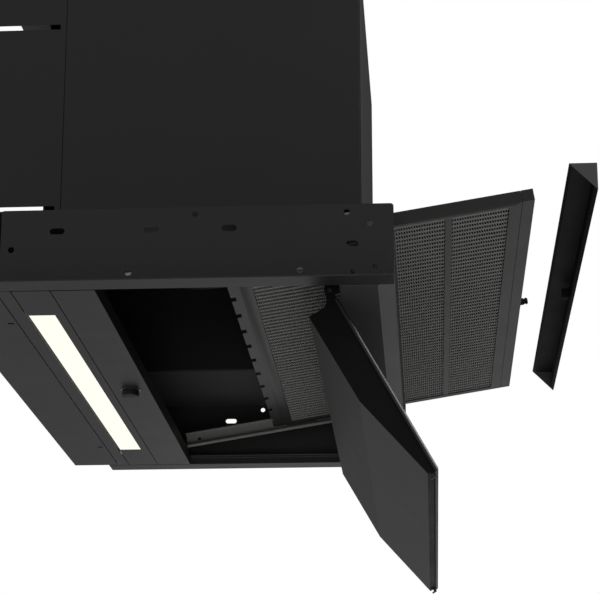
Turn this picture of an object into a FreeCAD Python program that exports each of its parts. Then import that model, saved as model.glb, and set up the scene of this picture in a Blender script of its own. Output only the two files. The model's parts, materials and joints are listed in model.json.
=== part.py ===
"""Built-in cooker hood, opened for cleaning: filter cassette drawn out, intake flap hanging, front trim off.

Millimetres. X is the width, +Y points to the wall behind, +Z is up. The origin is on the centre line,
at the wall plane, level with the underside of the hood.
"""
import FreeCAD
import Part
import math
import os

V = FreeCAD.Vector
X_AXIS = V(1, 0, 0)
Y_AXIS = V(0, 1, 0)
Z_AXIS = V(0, 0, 1)

# ---- driving dimensions -------------------------------------------------------------------------
sheet = 1.0                      # sheet steel of casing, panels and flap
seam = 0.6                       # gap between neighbouring panels

cabinet_gap = 560.0              # outside of the two side walls, fits between 564 mm cabinet sides
trim_flange = 19.0               # trim flanges cover the cabinet edges, 598 mm over both
body_front = -302.8              # front face of the body
body_rear = -40.0                # rear wall of the body
wall_rear = -42.5                # rear end of the side walls
wall_height = 55.2
wall_corner_r = 2.0

trim_rear = -31.0                # rear end of the trim strips
trim_web_inset = 2.0             # flange's inner edge inside the wall face
lip_width = 9.0                  # inward lip of the trim strip
lip_height = 7.0

panel_inset = 3.7                # panels end this far inside the wall face
sill_depth = 9.3                 # rear wall's bottom flange
light_depth = 26.4
control_depth = 29.8
panel_fold = 10.0                # folded edges of the panels
intake_fold = 11.5               # folded front edge of the control panel
front_bar_depth = 36.0           # front bar, from its rear fold to the body's front
front_slope_run = 11.0
front_slope_rise = 4.0
front_bar_height = 42.0
front_bar_fold = 12.0
front_bar_return = 7.0

led_length = 431.0
led_width = 18.2
led_centre_x = -3.5
led_edge = 1.0                   # from the light panel's rear edge to the window
led_tray_height = 12.0
diffuser_thickness = 2.0

knob_r = 6.8
knob_height = 4.6
knob_x = -5.0
knob_groove = 0.35
knob_rings = 3
bezel_r = 7.9
bezel_thickness = 0.5
shaft_r = 3.0
shaft_clearance = 0.05
switch_size = 17.0
switch_height = 13.0
stem_length = 11.0

box_width = 301.0                # motor housing above the body
box_front = -278.0
box_seam = -57.6                 # where the housing side ends and the wall flange begins
box_rear = -44.5
box_lap = 4.0                    # overlap behind that seam
box_top = 296.6
plate_lead = 8.0                 # top plate ahead of the motor housing
slot_levels = (101.0, 245.0)
wall_slot_height = 4.0
wall_slot_margin = 4.5

collar_r = 74.0
collar_length = 40.0
collar_flange = 10.0
collar_wall = 1.6

filter_tilt = 9.2                # degrees, rising to the front
filter_front = -396.8            # lower front edge of the cassette, drawn out
filter_plate_gap = 0.34          # below the front of the top plate, as drawn out
filter_side_gap = 23.4           # from the outside of a side wall
filter_thick = 8.1
filter_length = 216.0
filter_front_rail = 8.4
filter_mesh_start = 17.0
filter_mesh_end = 198.9
filter_strip_start = 207.5
filter_side = 8.6
filter_bar_start = 55.8
filter_bar = 4.9
filter_bar_sunk = 0.2
notch_pitch = 42.7
notch_count = 12
notch_width = 9.5
notch_depth = 3.6
mesh_thick = 0.9
mesh_recess = 0.9
core_thick = 4.2
peg_r = 2.7
peg_length = 6.5

rail_gap = 5.4                   # from the cassette's side to the rail's web
rail_height = 12.0
rail_drop = 3.8                  # rail's lower face below the cassette's underside
rail_sheet = 1.2
rail_lip = 4.6
rail_rear_gap = 0.9              # rails end this far past the control panel's front
rail_front_gap = 1.5
rail_hole_r = 1.6
rail_hole_from_end = 11.5
shoe_start = 178.0
shoe_length = 26.0
shoe_clearance = 0.3

flap_pivot_gap = 7.1             # from the front bar's rear to the pivot line
flap_pivot_z = 2.5
flap_open = 119.0                # degrees from closed, the rest position
flap_side_gap = 23.0             # from the outside of a side wall
flap_shut_gap = 14.4             # round the shut flap, at the control panel
flap_lead = 6.3                  # from the pivot line to the skin's edge
flap_tip_depth = 7.7
flap_fold_s = 74.7
flap_depth_fold = 22.4
flap_depth_hinge = 23.3
flap_rim = 2.8
flap_cheek_inset = 1.2
flap_heel = 8.5
ear_r = 4.0
ear_arc_r = 8.0
pin_r = 1.5
pin_clearance = 0.05
bracket_gap = 1.2
bracket_thick = 1.5

fascia_side_gap = 4.3            # from the outside of a side wall
fascia_top = 82.0
fascia_front = -437.3
fascia_size = 18.6
fascia_sheet = 1.0
fascia_lip = 3.2
fascia_cap = 1.2
fascia_seat_gap = 0.5

# ---- worked-out values --------------------------------------------------------------------------
wall_x = cabinet_gap / 2
trim_x = wall_x + trim_flange
panel_x = wall_x - panel_inset
fold_x = wall_x - sheet - lip_width - 1.0
box_x = box_width / 2
sill_front = body_rear - sill_depth
light_rear = sill_front - seam
light_front = sill_front - light_depth
control_rear = light_front - seam
control_front = light_front - control_depth
front_bar_rear = body_front + front_bar_depth
led_rear = light_rear - led_edge
led_front = led_rear - led_width
knob_y = (control_rear + control_front) / 2
filter_half = wall_x - filter_side_gap
rail_web = filter_half + rail_gap
rail_rear_y = control_front + rail_rear_gap
flap_half = wall_x - flap_side_gap
flap_pivot_y = front_bar_rear + flap_pivot_gap
flap_length = control_front - flap_shut_gap - flap_pivot_y - flap_lead
fascia_half = wall_x - fascia_side_gap
plate_front = box_front - plate_lead
tilt = math.radians(filter_tilt)
filter_front_z = (wall_height - sheet - filter_plate_gap - filter_thick / math.cos(tilt)
                  + (plate_front - filter_front) * math.tan(tilt))


# ---- small builders -----------------------------------------------------------------------------
def block(x0, x1, y0, y1, z0, z1):
    return Part.makeBox(x1 - x0, y1 - y0, z1 - z0, V(x0, y0, z0))


def prism(points, x0, x1):
    """Solid from (y, z) points, drawn out from x0 to x1."""
    wire = Part.makePolygon([V(x0, y, z) for y, z in points + points[:1]])
    return Part.Face(wire).extrude(V(x1 - x0, 0, 0))


def rod(radius, start, axis, length):
    return Part.makeCylinder(radius, length, start, axis)


def ring(outer, inner, start, axis, length):
    return rod(outer, start, axis, length).cut(rod(inner, start, axis, length))


def join(pieces):
    return pieces[0].multiFuse(pieces[1:]).removeSplitter() if len(pieces) > 1 else pieces[0]


def group(pieces):
    return Part.makeCompound(pieces)


def mirrored(shape):
    return shape.mirror(V(0, 0, 0), X_AXIS)


def slot_along_y(x0, x1, y, z, length, height):
    """Obround hole through a side wall."""
    r = height / 2
    half = length / 2 - r
    ends = [rod(r, V(x0, y + side * half, z), X_AXIS, x1 - x0) for side in (-1, 1)]
    return join([block(x0, x1, y - half, y + half, z - r, z + r)] + ends)


def on_filter(shape):
    """Places a shape drawn in the cassette's own frame: Y runs back from its front edge, Z off its face."""
    turn = FreeCAD.Rotation(X_AXIS, -filter_tilt)
    placed = shape.copy()
    placed.Placement = FreeCAD.Placement(V(0, filter_front, filter_front_z), turn)
    return placed


def on_flap(shape):
    """Places a shape drawn with the flap shut and its pivot at the origin."""
    turn = FreeCAD.Rotation(X_AXIS, -flap_open)
    placed = shape.copy()
    placed.Placement = FreeCAD.Placement(V(0, flap_pivot_y, flap_pivot_z), turn)
    return placed


def save(name, shape):
    shape.exportStep("parts/%s.step" % name)


def save_pair(name, right):
    save(name + "_right", right)
    save(name + "_left", mirrored(right))


os.makedirs("parts", exist_ok=True)


# ---- side walls: cabinet screws go through them from inside -------------------------------------
round_holes = [                  # distance behind the body's front, height, radius
    (253.1, 27.8, 2.1), (30.8, 49.6, 2.1), (15.6, 41.7, 2.1), (131.0, 50.3, 2.0), (27.3, 8.6, 1.4),
    (12.7, 11.7, 1.4),
]
left_wall_holes = [(174.8, 10.6, 2.1), (61.6, 10.6, 2.1)]
wall_slots = [                   # distance behind the body's front, height, length, width
    (222.8, 40.2, 10.0, 4.2), (160.2, 40.2, 10.0, 4.2), (108.5, 40.2, 10.0, 4.2), (27.2, 27.9, 8.4, 3.8),
]


def side_wall(holes):
    wall = block(wall_x - sheet, wall_x, body_front, wall_rear, sheet, wall_height)
    top_corners = [
        e for e in wall.Edges
        if e.Vertexes[0].Z > wall_height - 1 and e.Vertexes[1].Z > wall_height - 1
        and abs(e.Vertexes[0].Y - e.Vertexes[1].Y) < 0.01
    ]
    wall = wall.makeFillet(wall_corner_r, top_corners)
    for back, z, r in holes:
        wall = wall.cut(rod(r, V(wall_x - 3, body_front + back, z), X_AXIS, 6))
    for back, z, length, width in wall_slots:
        wall = wall.cut(slot_along_y(wall_x - 3, wall_x + 3, body_front + back, z, length, width))
    return wall


save("side_wall_right", side_wall(round_holes))
save("side_wall_left", mirrored(side_wall(round_holes + left_wall_holes)))


# ---- trim strips: flange under the cabinet side, web, and inward lip ----------------------------
def trim_strip():
    inner = wall_x - trim_web_inset
    flange = block(inner, trim_x, body_front, trim_rear, 0, sheet)
    web = block(inner, inner + sheet, body_front, wall_rear, 0, lip_height)
    lip = block(inner + sheet - lip_width, inner + sheet, front_bar_rear + seam, control_front - seam,
                lip_height - sheet, lip_height)
    return join([flange, web, lip])


save_pair("trim_strip", trim_strip())


# ---- top plate, rear wall and rear spacer -------------------------------------------------------
top_plate = block(-wall_x + sheet, wall_x - sheet, plate_front, body_rear, wall_height - sheet, wall_height)
top_plate = top_plate.cut(block(-box_x + sheet, box_x - sheet, box_front + sheet, box_rear - sheet,
                                wall_height - 5, wall_height + 5))
save("top_plate", top_plate)

rear_x = wall_x - sheet - trim_web_inset
rear_wall = join([
    block(-rear_x, rear_x, body_rear - sheet, body_rear, 0, wall_height - sheet),
    block(-rear_x, rear_x, sill_front, body_rear, 0, sheet),
])
save("rear_wall", rear_wall)

spacer_front = body_rear + seam
rear_spacer = join([
    block(-panel_x, panel_x, spacer_front, 0, 0, sheet),
    block(-panel_x, panel_x, spacer_front, spacer_front + sheet, 0, panel_fold),
    block(-panel_x, panel_x, -sheet, 0, 0, wall_height - 2 * sheet),
])
spacer_screw_x = 200.0
spacer_screw_y = -35.0
spacer_screw_r = 2.2
for side in (-1, 1):
    screw_hole = rod(spacer_screw_r, V(side * spacer_screw_x, spacer_screw_y, -1), Z_AXIS, 3)
    rear_spacer = rear_spacer.cut(screw_hole)
save("rear_spacer", rear_spacer)


# ---- front bar: folded from one strip, with the sloped front edge -------------------------------
slope_start = body_front + front_slope_run
front_bar = join([
    block(-fold_x, fold_x, front_bar_rear - sheet, front_bar_rear, 0, front_bar_fold),
    block(-panel_x, panel_x, slope_start, front_bar_rear, 0, sheet),
    prism([(slope_start, 0), (slope_start, sheet), (body_front + sheet, front_slope_rise + sheet),
           (body_front, front_slope_rise + sheet), (body_front, front_slope_rise)], -panel_x, panel_x),
    block(-panel_x, panel_x, body_front, body_front + sheet, front_slope_rise, front_bar_height),
    block(-panel_x, panel_x, body_front, body_front + front_bar_return,
          front_bar_height - sheet, front_bar_height),
])
save("front_bar", front_bar)


# ---- light panel with its lamp ------------------------------------------------------------------
led_x0 = led_centre_x - led_length / 2
led_x1 = led_centre_x + led_length / 2
light_panel = join([
    block(-panel_x, panel_x, light_front, light_rear, 0, sheet),
    block(-fold_x, fold_x, light_front, light_front + sheet, 0, panel_fold),
])
light_panel = light_panel.cut(block(led_x0, led_x1, led_front, led_rear, -1, sheet + 1))
save("light_panel", light_panel)

diffuser_flange = 0.8
diffuser_gap = 0.15
save("led_diffuser", join([
    block(led_x0 + diffuser_gap, led_x1 - diffuser_gap, led_front + diffuser_gap, led_rear - diffuser_gap,
          0.1, sheet + diffuser_thickness),
    block(led_x0 - diffuser_flange, led_x1 + diffuser_flange, led_front - diffuser_flange,
          led_rear + diffuser_flange, sheet, sheet + diffuser_thickness),
]))
tray_x0 = led_x0 - diffuser_flange - sheet
tray_x1 = led_x1 + diffuser_flange + sheet
tray_y0 = led_front - diffuser_flange - sheet
tray_y1 = led_rear + diffuser_flange
led_tray = block(tray_x0, tray_x1, tray_y0, tray_y1, sheet, sheet + led_tray_height).cut(
    block(tray_x0 + sheet, tray_x1 - sheet, tray_y0 + sheet, tray_y1, 0, led_tray_height))
save("led_tray", led_tray)
board_thick = 1.6
chip_height = 0.7
board_z = led_tray_height - board_thick
led_board = [block(led_x0, led_x1, led_front, led_rear, board_z, board_z + board_thick)]
led_count = 24
led_pitch = led_length / led_count
chip = 1.4
for i in range(led_count):
    x = led_x0 + led_pitch * (i + 0.5)
    y = (led_front + led_rear) / 2
    led_board.append(block(x - chip, x + chip, y - chip, y + chip, board_z - chip_height, board_z))
save("led_board", join(led_board))
driver_size = (96.0, 18.0, 20.0)
driver_x = -190.0
driver_z = sheet + led_tray_height
save("led_driver", block(driver_x, driver_x + driver_size[0], tray_y0, tray_y0 + driver_size[1],
                         driver_z, driver_z + driver_size[2]))


# ---- control panel, its rotary switch and knob --------------------------------------------------
control_panel = join([
    block(-panel_x, panel_x, control_front, control_rear, 0, sheet),
    block(-fold_x, fold_x, control_front, control_front + sheet, 0, intake_fold),
])
stem_hole = shaft_r + 0.6
control_panel = control_panel.cut(rod(stem_hole, V(knob_x, knob_y, -1), Z_AXIS, 4))
save("control_panel", control_panel)
bezel_start = V(knob_x, knob_y, -bezel_thickness)
save("knob_bezel", ring(bezel_r, stem_hole, bezel_start, Z_AXIS, bezel_thickness))
knob_lift = 0.3
knob_base = -bezel_thickness - knob_lift
knob = rod(knob_r, V(knob_x, knob_y, knob_base - knob_height), Z_AXIS, knob_height)
ring_pitch = knob_height / (knob_rings + 1)
for i in range(knob_rings):
    z = knob_base - ring_pitch * (i + 1)
    knob = knob.cut(ring(knob_r + 1, knob_r - knob_groove, V(knob_x, knob_y, z - 0.2), Z_AXIS, 0.4))
pointer = block(knob_x - 0.4, knob_x + 0.4, knob_y + 2, knob_y + knob_r + 1,
                knob_base - knob_height - 1, knob_base - knob_height + 0.3)
knob = knob.cut(pointer)
knob = knob.cut(rod(shaft_r, V(knob_x, knob_y, knob_base - 3), Z_AXIS, 4))
save("control_knob", knob)
save("knob_shaft", rod(shaft_r, V(knob_x, knob_y, knob_base - 3), Z_AXIS, stem_length))
switch_z = sheet
switch = block(knob_x - switch_size / 2, knob_x + switch_size / 2, knob_y - switch_size / 2,
               knob_y + switch_size / 2, switch_z, switch_z + switch_height)
switch = switch.cut(rod(shaft_r + shaft_clearance, V(knob_x, knob_y, -1), Z_AXIS,
                        stem_length + knob_base - 3 + 1.5))
save("rotary_switch", switch)


# ---- motor housing ------------------------------------------------------------------------------
def box_side():
    return block(box_x - sheet, box_x, box_front + sheet, box_seam - seam / 2, wall_height, box_top - sheet)


def wall_flange():
    """Rear end of the housing side, lapped behind it and reaching to the wall, with two hanging slots."""
    plate = join([
        block(box_x - sheet, box_x, box_seam + seam / 2, 0, wall_height, box_top - sheet),
        block(box_x - 2 * sheet, box_x - sheet, box_seam - box_lap, box_seam + box_lap,
              wall_height, box_top - sheet),
    ])
    for z in slot_levels:
        plate = plate.cut(block(box_x - 3, box_x + 3, box_seam + wall_slot_margin, -wall_slot_margin,
                                z - wall_slot_height / 2, z + wall_slot_height / 2))
    return plate


save_pair("motor_box_side", box_side())
save("wall_flanges", group([wall_flange(), mirrored(wall_flange())]))
save("motor_box_front", block(-box_x, box_x, box_front, box_front + sheet, wall_height, box_top - sheet))
save("motor_box_rear", block(-box_x + sheet, box_x - sheet, box_rear - sheet, box_rear,
                             wall_height, box_top - sheet))

scroll_axis_y = -140.0
scroll_axis_z = 190.0
scroll_r = 88.0
scroll_half = 65.0
scroll_sheet = 1.2
outlet_rear = scroll_axis_y + 5
outlet_front = scroll_axis_y - scroll_r
collar_y = (outlet_front + outlet_rear) / 2
box_lid = block(-box_x, box_x, box_front, 0, box_top - sheet, box_top)
box_lid = box_lid.cut(rod(collar_r - collar_wall, V(0, collar_y, box_top - 5), Z_AXIS, 10))
save("motor_box_lid", box_lid)
save("duct_collar", join([
    ring(collar_r, collar_r - collar_wall, V(0, collar_y, box_top), Z_AXIS, collar_length),
    ring(collar_r + collar_flange, collar_r - collar_wall, V(0, collar_y, box_top), Z_AXIS, collar_wall),
]))

# backdraft flaps: two half discs on pins across the collar
damper_gap = 1.2
damper_pin_r = 2.0
damper_thick = 1.4
damper_z = box_top + 22.0
damper_axis_off = 3.2
damper_r = collar_r - collar_wall - damper_gap
knuckle_r = 3.0
pin_socket = 0.05


def damper():
    """Half disc on the rear side of the collar, lying shut, with a knuckle round its pin."""
    disc = rod(damper_r, V(0, collar_y, damper_z - damper_thick / 2), Z_AXIS, damper_thick)
    half = disc.common(block(-damper_r, damper_r, collar_y + damper_axis_off, collar_y + damper_r,
                             damper_z - 3, damper_z + 3))
    reach = damper_r - 6
    knuckle = rod(knuckle_r, V(-reach, collar_y + damper_axis_off, damper_z), X_AXIS, 2 * reach)
    bore = rod(damper_pin_r + pin_socket, V(-collar_r, collar_y + damper_axis_off, damper_z),
               X_AXIS, 2 * collar_r)
    return join([half, knuckle]).cut(bore)


def damper_pin():
    wall = collar_r - collar_wall
    length = 2 * math.sqrt(wall * wall - (damper_axis_off + damper_pin_r) ** 2)
    return rod(damper_pin_r, V(-length / 2, collar_y + damper_axis_off, damper_z), X_AXIS, length)


def across_collar(shape):
    return shape.mirror(V(0, collar_y, 0), Y_AXIS)


save("backdraft_flap_rear", damper())
save("backdraft_flap_front", across_collar(damper()))
save("backdraft_pins", group([damper_pin(), across_collar(damper_pin())]))

# ---- blower: scroll, motor in one inlet, impeller -----------------------------------------------
inlet_r = 60.0
motor_r = 42.0
motor_length = 50.0
scroll_top = box_top - sheet
outlet_lip = 8.0                 # flange that screws the scroll to the lid


def scroll_solid(r, half, grow):
    drum = rod(r, V(-half, scroll_axis_y, scroll_axis_z), X_AXIS, 2 * half)
    outlet = block(-half, half, scroll_axis_y - r, outlet_rear - grow, scroll_axis_z, scroll_top)
    return drum.fuse(outlet).removeSplitter()


outlet_flange = block(-scroll_half - outlet_lip, scroll_half + outlet_lip, outlet_front - outlet_lip,
                      outlet_rear + outlet_lip, scroll_top - scroll_sheet, scroll_top)
scroll = join([scroll_solid(scroll_r, scroll_half, 0), outlet_flange])
scroll = scroll.cut(scroll_solid(scroll_r - scroll_sheet, scroll_half - scroll_sheet, scroll_sheet))
scroll = scroll.cut(rod(inlet_r, V(-scroll_half - 5, scroll_axis_y, scroll_axis_z), X_AXIS,
                        2 * scroll_half + 10))
save("blower_scroll", scroll)

inlet_lip = 4.0
inlet_rings = [
    ring(inlet_r + inlet_lip, inlet_r - 2, V(x, scroll_axis_y, scroll_axis_z), X_AXIS, 2.0)
    for x in (-scroll_half - 2.0, scroll_half)
]
save("inlet_rings", group(inlet_rings))

motor_x = -scroll_half + 8
motor = rod(motor_r, V(motor_x, scroll_axis_y, scroll_axis_z), X_AXIS, motor_length)
rotor_shaft_r = 4.0
motor = motor.cut(rod(rotor_shaft_r + shaft_clearance, V(motor_x + 6, scroll_axis_y, scroll_axis_z),
                      X_AXIS, motor_length))
save("motor", motor)

arm_width = 12.0
arm_thick = 2.5
arm_x = motor_x - arm_thick
arm_reach = inlet_r + inlet_lip + 6
post_r = 3.5
arm_hub = rod(motor_r - 12, V(arm_x, scroll_axis_y, scroll_axis_z), X_AXIS, arm_thick)
bracket_parts = [arm_hub]
bush_parts = []
for i in range(3):
    turn = 120 * i + 90
    arm = block(arm_x, arm_x + arm_thick, 0, inlet_r - 4, -arm_width / 2, arm_width / 2)
    arm.rotate(V(0, 0, 0), X_AXIS, turn)
    arm.translate(V(0, scroll_axis_y, scroll_axis_z))
    bracket_parts.append(arm)
    riser = block(-scroll_half - 4.5, arm_x + arm_thick, inlet_r - 6.5, inlet_r - 4,
                  -arm_width / 2, arm_width / 2)
    foot = block(-scroll_half - 4.5, -scroll_half - 2, inlet_r - 6.5, arm_reach,
                 -arm_width / 2, arm_width / 2)
    for extra in (riser, foot):
        extra.rotate(V(0, 0, 0), X_AXIS, turn)
        extra.translate(V(0, scroll_axis_y, scroll_axis_z))
        bracket_parts.append(extra)
    across = V(0, math.cos(math.radians(turn)), math.sin(math.radians(turn)))
    place = V(-scroll_half - 8.5, scroll_axis_y, scroll_axis_z) + across * (arm_reach - 4)
    bush_parts.append(rod(post_r, place, X_AXIS, 4.0))
save("motor_bracket", join(bracket_parts))
save("motor_bracket_screws", group(bush_parts))

wheel_r = 76.0
wheel_inner = 60.0
wheel_half = scroll_half - 7
blade_count = 30
blade_thick = 1.0
disc_thick = 2.4
hub_r = 12.0
hub_length = 14.0
blade_angle = 35.0
disc_grip = 3.0                  # depth of the disc's edge that the blades are crimped into
axis_start = V(0, scroll_axis_y, scroll_axis_z)
disc_x = motor_x + motor_length + 3
blade_from = wheel_half - disc_thick


def blade(turn):
    """Flat blade set at an angle on the wheel's rim."""
    plate = block(-blade_from, blade_from, wheel_inner + 1, wheel_r - 1, -blade_thick / 2, blade_thick / 2)
    plate.rotate(V(0, (wheel_inner + wheel_r) / 2, 0), X_AXIS, blade_angle)
    plate.rotate(V(0, 0, 0), X_AXIS, turn)
    plate.translate(axis_start)
    return plate


blades = [blade(360.0 * i / blade_count) for i in range(blade_count)]
rims = [ring(wheel_r, wheel_inner, axis_start + V(x, 0, 0), X_AXIS, disc_thick)
        for x in (-wheel_half, blade_from)]
hub_disc = join([
    rod(wheel_inner + disc_grip, axis_start + V(disc_x, 0, 0), X_AXIS, disc_thick),
    rod(hub_r, axis_start + V(disc_x, 0, 0), X_AXIS, hub_length),
])
hub_disc = hub_disc.cut(rod(rotor_shaft_r, axis_start + V(disc_x, 0, 0), X_AXIS, hub_length))
hub_disc = hub_disc.cut(group(blades))
save("impeller_rims", group(rims))
save("impeller", group([hub_disc] + blades))
shaft_start = motor_x + 10
save("rotor_shaft", rod(rotor_shaft_r, axis_start + V(shaft_start, 0, 0), X_AXIS,
                        disc_x + hub_length - shaft_start))

capacitor_r = 15.0
capacitor_length = 58.0
capacitor_level = wall_height + 110
save("capacitor", rod(capacitor_r, V(box_x - 2 * sheet - capacitor_r, box_rear - sheet - capacitor_r - 3,
                                     capacitor_level), Z_AXIS, capacitor_length))
terminal_wall = 2.0
terminal_x = box_x - sheet
terminal_y = box_front + sheet
terminal = block(terminal_x - 44, terminal_x, terminal_y, terminal_y + 52, box_top - 78, box_top - 8)
terminal = terminal.cut(block(terminal_x - 44 + terminal_wall, terminal_x, terminal_y + terminal_wall,
                              terminal_y + 52 - terminal_wall, box_top - 78 + terminal_wall,
                              box_top - 8 - terminal_wall))
save("terminal_box", terminal)

# ---- cassette rails -----------------------------------------------------------------------------
rail_back = (rail_rear_y - filter_front) / math.cos(tilt)
rail_start = (body_front + rail_front_gap - filter_front) / math.cos(tilt)


def rail():
    low = -rail_drop
    high = rail_height - rail_drop
    outer = rail_web + rail_sheet
    shape = join([
        block(rail_web, outer, rail_start, rail_back, low, high),
        block(rail_web - rail_lip, outer, rail_start, rail_back, low, low + rail_sheet),
        block(rail_web - rail_lip, outer, rail_start, rail_back, high - rail_sheet, high),
    ])
    hole_y = rail_back - rail_hole_from_end
    shape = shape.cut(rod(rail_hole_r, V(rail_web - 2, hole_y, 2.2), X_AXIS, 6))
    return on_filter(shape)


def rail_brackets():
    """Two folded brackets that hold a rail off its side wall."""
    low = 0.5
    high = rail_height - rail_drop - 2
    outer = wall_x - sheet
    inner = rail_web + rail_sheet
    made = []
    for start in (rail_start + 22, rail_back - 60):
        web = block(inner, inner + sheet, start, start + 24, low, high)
        arm = block(inner, outer, start, start + sheet, low, high)
        foot = block(outer - sheet, outer, start, start + 24, low, high)
        made.append(on_filter(join([web, arm, foot])))
    return group(made)


save("guide_rails", group([rail(), mirrored(rail())]))
save("rail_brackets", group([rail_brackets(), mirrored(rail_brackets())]))

# ---- filter cassette ----------------------------------------------------------------------------
window_x = filter_half - filter_side


def filter_shell(y0, y1, side):
    """Closed sheet box from y0 to y1, with the given wall."""
    outer = block(-filter_half, filter_half, y0, y1, 0, filter_thick)
    return outer.cut(block(-filter_half + side, filter_half - side, y0 + side, y1 - side,
                           side, filter_thick - side))


groove = 0.2
save("filter_front_rail", on_filter(filter_shell(0, filter_front_rail - groove / 2, sheet)))
frame = filter_shell(filter_front_rail + groove / 2, filter_strip_start, sheet)
frame = frame.cut(block(-window_x, window_x, filter_mesh_start, filter_mesh_end, -1, filter_thick + 1))
save("filter_frame", on_filter(frame))

strip_thick = 1.6
strip = join([
    block(-filter_half, filter_half, filter_strip_start, filter_length, 0, strip_thick),
    block(-filter_half, filter_half, filter_strip_start, filter_strip_start + sheet, 0, filter_thick),
])
for i in range(notch_count):
    x = (i - (notch_count - 1) / 2) * notch_pitch
    strip = strip.cut(block(x - notch_width / 2, x + notch_width / 2, filter_length - notch_depth,
                            filter_length + 1, -1, strip_thick + 1))
save("filter_rear_strip", on_filter(strip))

bar_end = filter_bar_start + filter_bar
save("filter_mid_bar", on_filter(block(-window_x, window_x, filter_bar_start, bar_end,
                                       filter_bar_sunk, filter_thick - filter_bar_sunk)))
fields = [(filter_mesh_start, filter_bar_start), (bar_end, filter_mesh_end)]


def mesh_sheet(y0, y1, z):
    return on_filter(block(-window_x, window_x, y0, y1, z, z + mesh_thick))


save("filter_mesh_front", mesh_sheet(fields[0][0], fields[0][1], mesh_recess))
save("filter_mesh_rear", mesh_sheet(fields[1][0], fields[1][1], mesh_recess))
upper_z = filter_thick - mesh_recess - mesh_thick
save("filter_top_mesh", group([mesh_sheet(y0, y1, upper_z) for y0, y1 in fields]))
core_z = (filter_thick - core_thick) / 2
save("filter_wool", group([
    on_filter(block(-window_x, window_x, y0, y1, core_z, core_z + core_thick)) for y0, y1 in fields]))

shoe = block(filter_half, rail_web - shoe_clearance, shoe_start, shoe_start + shoe_length,
             -rail_drop + rail_sheet + shoe_clearance, rail_height - rail_drop - rail_sheet - shoe_clearance)
save("slide_shoes", group([on_filter(shoe), on_filter(mirrored(shoe))]))
peg_z = filter_thick / 2
save("filter_peg", on_filter(rod(peg_r, V(0, -peg_length, peg_z), Y_AXIS, peg_length)))

# ---- intake flap, drawn shut with its pivot at the origin ---------------------------------------
skin_z = -flap_pivot_z
skin_end = flap_lead + flap_length
cheek_x = flap_half - flap_cheek_inset
tip_z = skin_z + flap_tip_depth
fold_z = skin_z + flap_depth_fold
heel_z = skin_z + flap_depth_hinge
tip_inset = 1.2                   # inner skin's tip wall inside the outer skin's rim
outer_skin = join([
    block(-flap_half, flap_half, flap_lead, skin_end, skin_z, skin_z + sheet),
    block(-flap_half, -flap_half + sheet, flap_lead, skin_end, skin_z, skin_z + flap_rim),
    block(flap_half - sheet, flap_half, flap_lead, skin_end, skin_z, skin_z + flap_rim),
    block(-flap_half, flap_half, skin_end - sheet, skin_end, skin_z, skin_z + flap_rim),
])
save("flap_outer_skin", on_flap(outer_skin))


tip_s = skin_end - tip_inset


def inner_skin():
    """Bent sheet: heel wall, flat part, sloped part down to the tip wall."""
    outside = [(flap_heel, skin_z + sheet), (flap_heel, heel_z), (flap_fold_s, fold_z), (tip_s, tip_z),
               (tip_s, skin_z + sheet)]
    inside = [(tip_s - sheet, skin_z + sheet), (tip_s - sheet, tip_z - 0.8 * sheet),
              (flap_fold_s, fold_z - sheet), (flap_heel + sheet, heel_z - sheet),
              (flap_heel + sheet, skin_z + sheet)]
    return prism(outside + inside, -cheek_x + sheet, cheek_x - sheet)


save("flap_inner_skin", on_flap(inner_skin()))


def cheek():
    """End plate of the flap with the hinge ear, hollowed where it swings past the front bar."""
    x0 = cheek_x - sheet
    panel = prism([(flap_heel - 0.5, skin_z + sheet), (tip_s, skin_z + sheet), (tip_s, tip_z),
                   (flap_fold_s, fold_z), (flap_heel - 0.5, heel_z)], x0, cheek_x)
    root = block(x0, cheek_x, 0, flap_heel, skin_z + sheet, ear_r + ear_arc_r)
    root = root.cut(rod(ear_arc_r, V(x0 - 1, 0, ear_r + ear_arc_r), X_AXIS, sheet + 2))
    ear = rod(ear_r, V(x0, 0, 0), X_AXIS, sheet)
    bore = rod(pin_r + pin_clearance, V(x0 - 1, 0, 0), X_AXIS, sheet + 2)
    trimmed = join([panel, root, ear]).cut(block(x0 - 1, cheek_x + 1, flap_lead - 0.5, skin_end + 1,
                                                 skin_z - 2, skin_z + sheet))
    return on_flap(trimmed.cut(bore))


save("flap_cheeks", group([cheek(), mirrored(cheek())]))
pin_start = cheek_x - 5
pin_end = flap_half + bracket_gap + bracket_thick + 1
hinge_pin = rod(pin_r, V(pin_start, flap_pivot_y, flap_pivot_z), X_AXIS, pin_end - pin_start)
save("hinge_pins", group([hinge_pin, mirrored(hinge_pin)]))


bracket_wall = 2.4                # metal left round the pin
bracket_foot = 7.0


def hinge_bracket():
    """Tab on the front bar's rear fold that carries one pin."""
    x0 = flap_half + bracket_gap
    x1 = x0 + bracket_thick
    z1 = front_bar_fold - sheet
    tab = block(x0, x1, front_bar_rear, flap_pivot_y, flap_pivot_z - bracket_wall, z1)
    nose = rod(bracket_wall + pin_r, V(x0, flap_pivot_y, flap_pivot_z + 1.4), X_AXIS, bracket_thick)
    foot = block(x1 - 0.5, x1 + bracket_foot, front_bar_rear, front_bar_rear + bracket_thick, sheet, z1)
    return join([tab, nose, foot]).cut(rod(pin_r, V(x0 - 1, flap_pivot_y, flap_pivot_z), X_AXIS, 4))


bracket = hinge_bracket()
save("hinge_brackets", group([bracket, mirrored(bracket)]))

hook_x1 = flap_half - 4.0
hook_x0 = hook_x1 - 5.0           # catches are 5 mm wide
hook_z = skin_z + flap_rim + 0.4
hook_reach = 2.2
hook = join([
    block(hook_x0, hook_x1, tip_s, skin_end + hook_reach, hook_z, hook_z + 2),
    block(hook_x0, hook_x1, skin_end + hook_reach - 1, skin_end + hook_reach, hook_z, hook_z + 4),
])
save("flap_catches", group([on_flap(hook), on_flap(mirrored(hook))]))

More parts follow.
